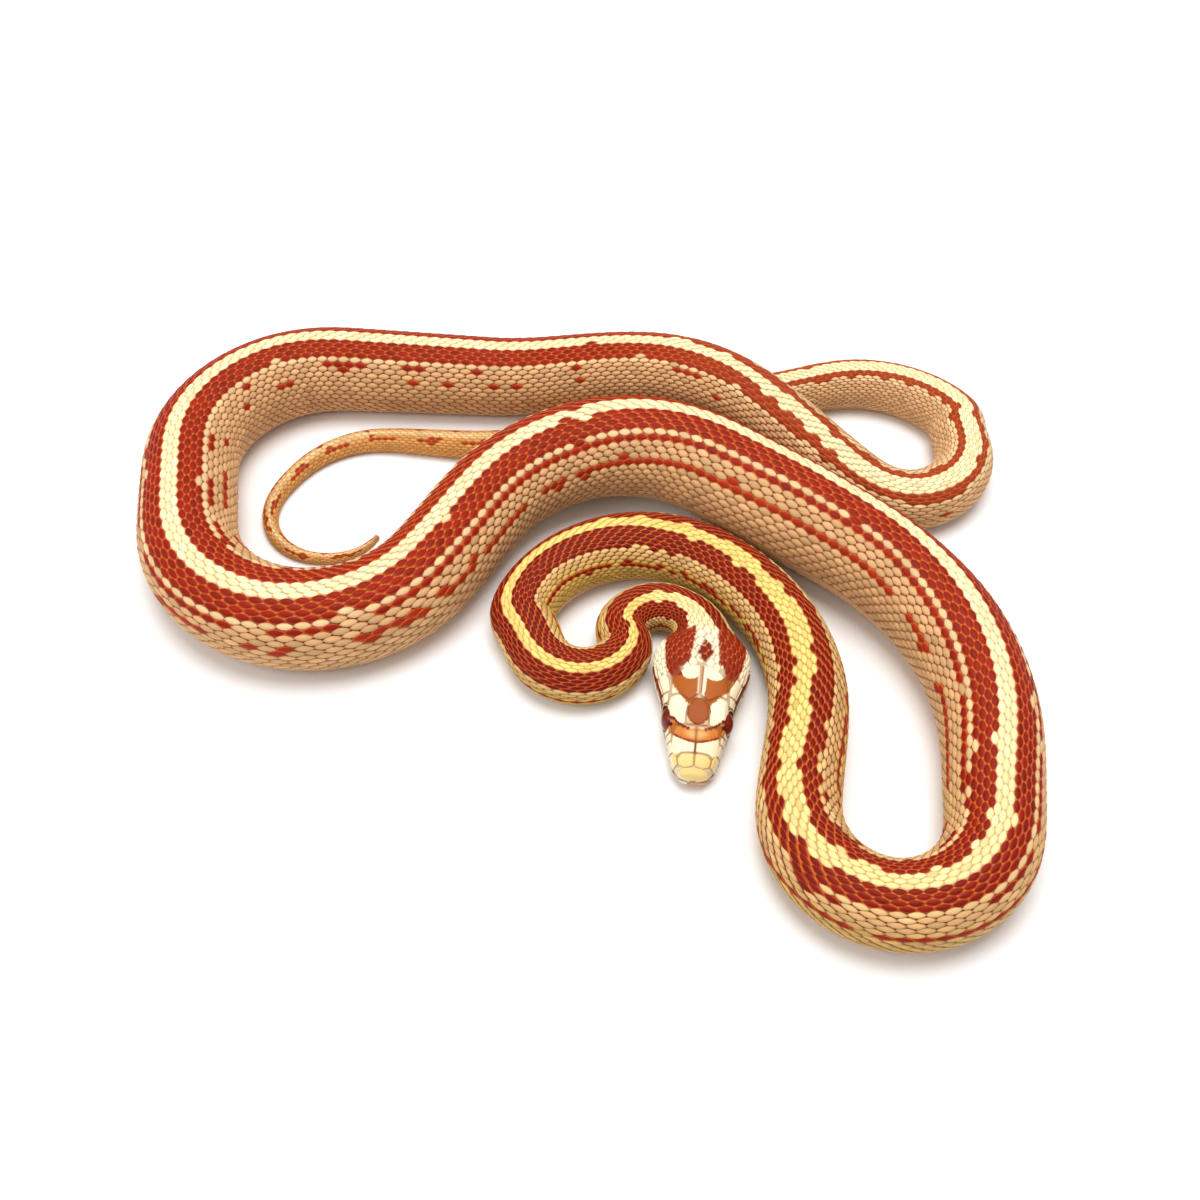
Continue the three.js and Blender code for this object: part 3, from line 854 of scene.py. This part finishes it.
def build_plates(name, outlines, height, spacing):
    points, faces, colours, patches = [], [], [], []
    total = 0
    for corners in outlines:
        edge = edge_points(corners, spacing)
        n = len(edge)
        middle = edge.mean(0)
        start = total
        for share, rise in PLATE_RINGS + PLATE_ENDS:
            ring = middle + (edge - middle) * share if share else middle[None]
            s, angle = ring.T
            points.append(on_skin(s, angle) + outward(s, angle) * rise * height)
            # The sides of each plate take on the tan of the seams and turn darker lower down: seam
            # colour, and painted shade at the plate's edge.
            rim = 0.6 if rise < 0.5 else (0.2 if rise < 0.9 else 0.0)
            colours.append(marking(s, angle) * (1 - rim) + GAP_TAN * rim)
            patches.append(unwrap(np.maximum(s, 0), angle))
            total += len(ring)
        rings = len(PLATE_RINGS)
        faces += [(a, b, b + n, a + n) for a, b in ring_pairs(start, rings - 1, n)]
        inner, top = start + (rings - 1) * n, start + rings * n
        for a, b in ring_pairs(0, 1, n):
            faces += [(inner + a, inner + b, top), (start + b, start + a, top + 1)]
    piece = make_piece(name, np.concatenate(points), faces, np.concatenate(colours),
                       np.concatenate(patches), plate_finish)
    face_outwards(piece)
    return piece


print("rings in a plate", len(PLATE_RINGS))

# %% [markdown]
# The crown plates are easiest to measure as seen from above, by their distance from the snout and
# from the middle line. The small plates of the cheek are seen from the side, so they are given in
# degrees round the head. Each outline is drawn once and mirrored to the other side.

# %% Crown and cheek plates
def girth(x, y):
    """The angle round the head at which it is y wide."""
    wide = smooth_table(x, HEAD_AT, HEAD_WIDE)
    return np.sign(y) * np.arcsin(np.clip((abs(np.asarray(y)) / wide) ** (1 / SIDE_POWER), 0, 1))


def both_sides(corners):
    return [corners, [(x, -g) for x, g in corners][::-1]]


def across(corners):
    """A plate on the middle line, from the corners of its right half."""
    return [corners + [(x, -g) for x, g in corners[::-1] if abs(g) > 1e-6]]


def by_width(corners):
    return [(x, float(girth(x, y))) for x, y in corners]


def by_degrees(corners):
    return [(x, math.radians(g)) for x, g in corners]


ROSTRAL = [(-0.9, 0), (-0.85, 50), (-0.75, 88), (0.3, 89), (0.6, 60), (0.75, 30), (0.78, 0)]
INTERNASAL = [(0.95, 0.07), (0.7, 1.2), (1.1, 2.2), (2.0, 2.45), (2.6, 1.9), (2.65, 0.07)]
PREFRONTAL = [(2.85, 0.07), (2.8, 2.0), (2.3, 2.65), (3.2, 3.4), (4.6, 3.5), (6.5, 3.2),
              (6.75, 2.0), (6.6, 0.07)]
FRONTAL_PLATE = [(6.8, 0), (6.85, 1.6), (8.4, 1.65), (10.2, 1.25), (11.5, 0)]
BROW_PLATE = [(6.85, 1.8), (6.8, 3.3), (7.4, 4.3), (9.4, 4.55), (11.4, 4.3), (11.7, 3.0),
              (10.5, 1.45), (8.5, 1.8)]
PARIETAL_PLATE = [(11.8, 0.07), (10.75, 1.4), (11.9, 3.0), (11.8, 4.2), (13.6, 4.2), (15.6, 3.2),
                  (16.9, 1.6), (17.0, 0.07)]
CHEEK = [
    [(1.2, 48), (1.0, 84), (2.9, 86), (2.9, 52), (2.2, 45)],  # nasal
    [(3.1, 54), (3.1, 86), (4.7, 86), (4.8, 58)],
    [(4.9, 58), (4.9, 86), (5.9, 87), (5.9, 56)],  # loreal
    [(6.05, 52), (6.05, 87), (6.7, 88), (6.5, 70), (6.9, 55)],
    [(10.8, 56), (10.9, 68), (12.3, 68), (12.3, 50)],
    [(10.9, 70), (10.6, 86), (12.3, 86), (12.3, 70)],
    [(12.5, 46), (12.5, 66), (15.2, 68), (15.6, 50), (14.6, 44)],  # temporals
    [(12.5, 68), (12.5, 86), (15.2, 86), (15.2, 70)],
    [(15.4, 70), (15.4, 88), (18.3, 88), (18.3, 68)],
]
PLATE_HEIGHT, PLATE_SPACING = 0.17, 0.16

crown = across(by_degrees(ROSTRAL)) + across(by_width(FRONTAL_PLATE))
for corners in (INTERNASAL, PREFRONTAL, BROW_PLATE, PARIETAL_PLATE):
    crown += both_sides(by_width(corners))
for corners in CHEEK:
    crown += both_sides(by_degrees(corners))
head_plates = build_plates("head_plates", crown, PLATE_HEIGHT, PLATE_SPACING)

# %% [markdown]
# Eight lip plates line the mouth above and eight below on each side, with a gap along the mouth
# line. The upper ones under the eye are lower, since the eye rests on them. The chin has a plate in
# the middle in front and two pairs behind it.

# %% Lips and chin
UPPER = [1.1, 2.8, 4.5, 6.2, 8.0, 10.2, 12.3, 14.9, 17.8]  # the seams between lip plates
LOWER = [0.9, 2.6, 4.4, 6.3, 8.4, 10.6, 12.8, 15.2, 17.8]
LIP_GAP, HALF_SEAM = 1.3, 0.08  # in degrees to the mouth line, and in millimetres
UPPER_TOP, UNDER_EYE, LOWER_EDGE = 88, 94, 128  # degrees round
LIP_HEIGHT, LIP_SPACING = 0.15, 0.3
FRONT_CHIN = [(-0.5, 103), (0.65, 99), (0.8, 140), (0.85, 180), (0.8, 220), (0.65, 261),
              (-0.5, 257), (-0.8, 180)]
CHIN = [[(1.2, 132), (1.2, 174), (6.8, 174), (6.4, 140)],
        [(7.0, 140), (7.2, 174), (12.6, 174), (12.0, 146)]]


def lip(x0, x1, degrees):
    """A lip plate on each side, from the degrees at its four corners."""
    x0, x1 = x0 + HALF_SEAM, x1 - HALF_SEAM
    return both_sides(by_degrees(list(zip((x0, x0, x1, x1), degrees))))


lips = []
for x0, x1 in zip(UPPER, UPPER[1:]):
    m0, m1 = np.interp([x0, x1], *MOUTH) - LIP_GAP
    top = UNDER_EYE if 6.3 < (x0 + x1) / 2 < 11.0 else UPPER_TOP
    lips += lip(x0, x1, (top, m0, m1, top))
for x0, x1 in zip(LOWER, LOWER[1:]):
    m0, m1 = np.interp([x0, x1], *MOUTH) + LIP_GAP
    lips += lip(x0, x1, (m0, LOWER_EDGE, LOWER_EDGE, m1))
lips.append(by_degrees(FRONT_CHIN))
for corners in CHIN:
    lips += both_sides(by_degrees(corners))
lip_plates = build_plates("lip_plates", lips, LIP_HEIGHT, LIP_SPACING)

# %% [markdown]
# ## Belly scutes
#
# A snake walks on wide plates that reach from flank to flank, one to each ring of scales, each
# lapping the next towards the tail. They are boxes bent round the belly with a raised rear edge.
# The flat sides of their edges are kept crisp, so these faces aren't smoothed.

# %% Belly scutes
SCUTE_FROM, SCUTE_TO, SCUTE_STEPS = math.radians(132.5), math.radians(227.5), 7
SCUTE_THICK = 0.26
SCUTE_LAYERS = ((1.0, -0.1, -0.05), (1.0, 0.25, 0.75), (0.9, 0.5, 1.0))  # share, front, back


def build_scutes(name, places):
    """Wide plates under the body, each lapping the next towards the tail."""
    steps = SCUTE_STEPS
    points, faces, colours, patches = [], [], [], []
    for i, s in enumerate(places):
        pitch = float(pitch_of(s))
        room = min(SCUTE_THICK, 0.85 * float(radius(s)) / 5)
        span = np.linspace(SCUTE_FROM, SCUTE_TO, steps) + float(roll_of(s))
        mid = span.mean()
        for share, front, back in SCUTE_LAYERS:
            angle = mid + (span - mid) * share
            for along, rise in ((-0.5, front), (0.56, back)):
                at = np.full(steps, s + along * pitch * share)
                points.append(on_skin(at, angle) + outward(at, angle) * rise * room)
                # The low points of each scute, its base and its front, are darker: a painted shade
                # under the lapping plates.
                scute_shade = 0.72 if rise < 0.3 else 1.0
                colours.append(np.tile(FLANK * 1.04 * scute_shade, (steps, 1)))
                patches.append(unwrap(at, angle))
        low = i * 6 * steps
        edge, top = low + 2 * steps, low + 4 * steps
        walls = ((low, edge), (edge, top))
        for k in range(steps - 1):
            faces.append((top + k, top + k + 1, top + steps + k + 1, top + steps + k))
            faces.append((low + steps + k, low + steps + k + 1, low + k + 1, low + k))
            for a, b in walls:
                faces.append((a + k, a + k + 1, b + k + 1, b + k))
                faces.append((b + steps + k, b + steps + k + 1, a + steps + k + 1, a + steps + k))
        for k in (0, steps - 1):
            faces += [(a + k, b + k, b + steps + k, a + steps + k) for a, b in walls]
    piece = make_piece(name, np.concatenate(points), faces, np.concatenate(colours),
                       np.concatenate(patches), belly_finish, smooth=False)
    face_outwards(piece)
    return piece


scutes = build_scutes("belly_scutes", stations(14, LENGTH - 4))

# %% [markdown]
# ## Eyes and nostrils
#
# A snake has no eyelids: a clear scale covers each eye, so it always shines. An albino's eye is
# ruby red with a darker pupil. The eye is a ball set deep in its socket, a little flattened to the
# side, and its colours are rings round the way it looks.

# %% Eyes
eye_finish = new_material("eye", 0.14, 0.0, 900, 0.05, coat=0.5)
IRIS, PUPIL = srgb(118, 22, 8), srgb(64, 6, 4)
PUPIL_EDGE, IRIS_EDGE = 34, 74  # degrees from the middle of the eye


def head_place(x, y, z):
    """A place given by its distance from the snout, to the right and up."""
    point, _, right = spine_at(x)
    return np.concatenate([point + right * y[..., None], z[..., None]], -1)


def build_eye(name, side):
    rings, around = 24, 40
    polar, turn = np.meshgrid(np.linspace(0, np.pi, rings),
                              np.linspace(0, 2 * np.pi, around, endpoint=False), indexing="ij")
    r = EYE["radius"]
    y = side * (EYE["y"] + r * EYE["flat"] * np.cos(polar))
    x = EYE["x"] + r * np.sin(polar) * np.cos(turn)
    z = EYE["z"] + r * np.sin(polar) * np.sin(turn)
    streaks = 1 + 0.25 * np.sin(turn * 17 + np.sin(turn * 5) * 2)
    from_middle = np.degrees(polar)[..., None]
    dark = (from_middle < PUPIL_EDGE) | (from_middle > IRIS_EDGE)
    colours = np.where(dark, PUPIL, IRIS * streaks[..., None])
    faces = [(a, b, b + around, a + around) for a, b in ring_pairs(0, rings - 1, around)]
    patches = np.stack([turn / 7, polar / 4], -1).reshape(-1, 2)
    eye = make_piece(name, head_place(x, y, z).reshape(-1, 3), faces, colours.reshape(-1, 3),
                     patches, eye_finish)
    face_outwards(eye, weld=1e-6)
    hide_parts(name)


build_eye("eye_right", 1)
build_eye("eye_left", -1)

# %% [markdown]
# A ring of small scales frames each eye, and each nostril is a hole with a soft rim; its dark
# colour is a painted shade for the hole. Both are thin tubes that lie on the skin. A torus from the
# menu would be flat, while these follow the curve of the head.

# %% Rims round the eyes, and the nostrils
EYE_RIM = dict(x=EYE["x"], degrees=73, long=2.15, high=24, thick=0.13, colour=LIP_CREAM * 0.6)
# The nostril's ring is dark red-brown: a painted shade for the hole inside it.
NOSTRIL = dict(x=1.9, degrees=64, long=0.28, high=5, thick=0.11, colour=SEAM_RED * 0.5)
FLATTENED, RAISED = 0.8, 0.35  # of the tube's section, in its thickness


def build_ring(name, side, x, degrees, long, high, thick, colour):
    """A soft ring lying on the skin."""
    turns, sides = 36, 8
    t = np.linspace(0, 2 * np.pi, turns, endpoint=False)
    s = x + long * np.cos(t)
    angle = side * np.radians(degrees + high * np.sin(t))
    middle = on_skin(s, angle)
    normal = outward(s, angle)
    ahead = np.roll(middle, -1, 0) - np.roll(middle, 1, 0)
    ahead /= np.linalg.norm(ahead, axis=1)[:, None]
    aside = np.cross(normal, ahead)
    points = []
    for a in 2 * np.pi * np.arange(sides) / sides:
        rise = FLATTENED * math.sin(a) + RAISED
        points.append(middle + thick * (math.cos(a) * aside + rise * normal))
    faces = []
    for i in range(turns):
        here, there = i * sides, (i + 1) % turns * sides
        for k, n in ring_pairs(0, 1, sides):
            faces.append((here + k, there + k, there + n, here + n))
    patches = np.repeat(unwrap(s, angle)[:, None], sides, 1).reshape(-1, 2)
    ring = make_piece(name, np.stack(points, 1).reshape(-1, 3), faces,
                      np.tile(colour, (turns * sides, 1)), patches, plate_finish)
    face_outwards(ring)


for side, word in ((1, "right"), (-1, "left")):
    build_ring("eye_rim_" + word, side, **EYE_RIM)
    build_ring("nostril_" + word, side, **NOSTRIL)

# %% [markdown]
# ## Floor and light
#
# The snake lies on plain white under one broad soft light and a weaker one from the left, so its
# only shadow is a faint grey one close to its edges. Area lights of half a metre do what a soft box
# does over a small animal. A sun lamp would draw hard edges on every scale.

# %% Floor and light
FLOOR_HALF, FLOOR_GREY = 3.0, 0.93


def soft_light(name, place, size, power):
    lamp = bpy.data.lights.new(name, "AREA")
    lamp.shape = "DISK"
    lamp.size = size
    lamp.energy = power
    light = bpy.data.objects.new(name, lamp)
    light.location = place
    light.rotation_euler = Vector([-p for p in place]).to_track_quat("-Z", "Y").to_euler()
    bpy.context.collection.objects.link(light)


floor_mesh = bpy.data.meshes.new("floor")
floor_mesh.from_pydata([(x * FLOOR_HALF, y * FLOOR_HALF, 0.0)
                        for x, y in ((-1, -1), (1, -1), (1, 1), (-1, 1))], [], [(0, 1, 2, 3)])
floor_finish = bpy.data.materials.new("floor")
floor_finish.use_nodes = True
shader = floor_finish.node_tree.nodes["Principled BSDF"]
shader.inputs["Base Color"].default_value = (FLOOR_GREY, FLOOR_GREY, FLOOR_GREY, 1)
shader.inputs["Roughness"].default_value = 0.9
shader.inputs["Specular IOR Level"].default_value = 0.1
floor_mesh.materials.append(floor_finish)
floor = bpy.data.objects.new("floor", floor_mesh)
bpy.context.collection.objects.link(floor)

soft_light("overhead", (0.05, 0.10, 0.75), 0.55, 5.2)
soft_light("window", (-0.55, -0.25, 0.55), 0.5, 1.6)
world = bpy.data.worlds.new("studio")
world.use_nodes = True
background = world.node_tree.nodes["Background"]
background.inputs["Color"].default_value = (1, 1, 1, 1)
background.inputs["Strength"].default_value = 0.5
bpy.context.scene.world = world
bpy.context.scene.view_settings.view_transform = "Standard"

# %% [markdown]
# ## Camera
#
# The photo was taken from in front and above. A camera with a 42 mm lens, 23 centimetres away and
# looking down at 52 degrees, draws the bends where the photo has them.

# %% Camera
ELEVATION, DISTANCE = math.radians(52), 0.233
camera_data = bpy.data.cameras.new("camera")
camera_data.sensor_width = 36
camera_data.lens = 42
camera_data.clip_start = 0.01
camera = bpy.data.objects.new("camera", camera_data)
aim = np.array([-MIDDLE[0] * MM, -MIDDLE[1] * MM, 0])
camera.location = aim + DISTANCE * np.array([0, -math.cos(ELEVATION), math.sin(ELEVATION)])
camera.rotation_euler = (math.pi / 2 - ELEVATION, 0, 0)
bpy.context.collection.objects.link(camera)
bpy.context.scene.camera = camera
print("camera at", tuple(round(v, 3) for v in camera.location))
